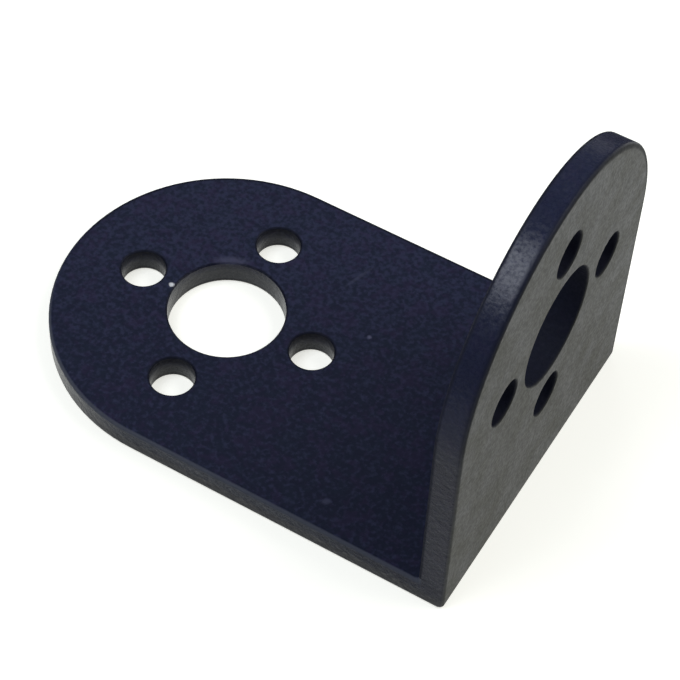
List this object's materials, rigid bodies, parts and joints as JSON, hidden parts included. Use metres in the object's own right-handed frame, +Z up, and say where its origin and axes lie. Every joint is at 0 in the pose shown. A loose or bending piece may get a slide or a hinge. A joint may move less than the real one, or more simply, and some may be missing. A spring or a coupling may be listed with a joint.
{
  "type": "servo bracket",
  "caption": "L-shaped servo bracket cut from aluminium angle: a flat leg and an upright, each with a round end, a centre bore and a ring of screw holes for a servo horn.",
  "frame": {"origin": "centre of the bounding box on the underside of the flat leg", "axes": "+Z up through the flat leg, +X from the flat leg towards the upright, Y across the legs"},
  "size_m": [0.037, 0.025, 0.029],
  "materials": {
    "anodised_aluminium": "matte"
  },
  "bodies": {
    "root": {"bracket": "anodised_aluminium"}
  },
  "joints": []
}
